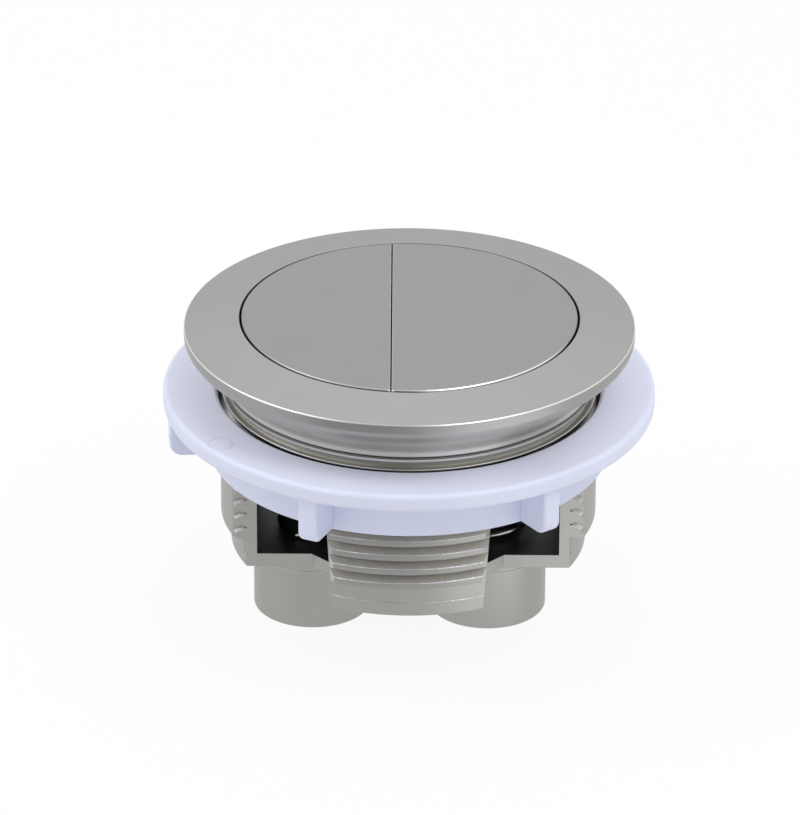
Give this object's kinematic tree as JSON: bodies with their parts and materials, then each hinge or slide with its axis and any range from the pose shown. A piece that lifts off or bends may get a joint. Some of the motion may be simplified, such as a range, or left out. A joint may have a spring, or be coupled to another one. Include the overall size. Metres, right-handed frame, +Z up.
{
  "type": "dual flush push button",
  "caption": "Round split push button with a sloping bezel, a windowed threaded barrel, a flanged clamp nut and sprung plungers that work a cistern's flush valve.",
  "frame": {"origin": "on the barrel's axis, in the plane where the bezel's rim rests on the cistern lid", "axes": "+Z up along the barrel's axis, out of the lid; +X from the small button towards the large one"},
  "size_m": [0.0754, 0.0754, 0.0496],
  "materials": {
    "bezel_nickel": "satin nickel",
    "cap_nickel": "satin nickel plate on plastic",
    "barrel_nickel": "satin nickel plate on plastic",
    "nut_white": "plain moulded",
    "black_moulding": "plain moulded",
    "spring_steel": "drawn wire"
  },
  "bodies": {
    "housing": {"bezel_ring": "bezel_nickel", "barrel": "barrel_nickel", "small_return_spring": "spring_steel", "large_return_spring": "spring_steel"},
    "nut": {"clamp_nut": "nut_white"},
    "small_button": {"small_button_cap": "cap_nickel", "small_plunger": "black_moulding", "small_stem_clip": "spring_steel"},
    "large_button": {"large_button_cap": "cap_nickel", "large_plunger": "black_moulding", "large_stem_clip": "spring_steel"}
  },
  "joints": [
    {"name": "nut_travel", "type": "slide", "parent": "housing", "child": "nut", "axis": [0, 0, -1], "range_m": [0, 0.01]},
    {"name": "small_press", "type": "slide", "parent": "housing", "child": "small_button", "axis": [0, 0, -1], "range_m": [0, 0.006], "stiffness_N_per_m": 400, "springref_m": -0.008, "deforming": ["small_return_spring"]},
    {"name": "large_press", "type": "slide", "parent": "housing", "child": "large_button", "axis": [0, 0, -1], "range_m": [0, 0.006], "stiffness_N_per_m": 400, "springref_m": -0.008, "deforming": ["large_return_spring"]}
  ]
}
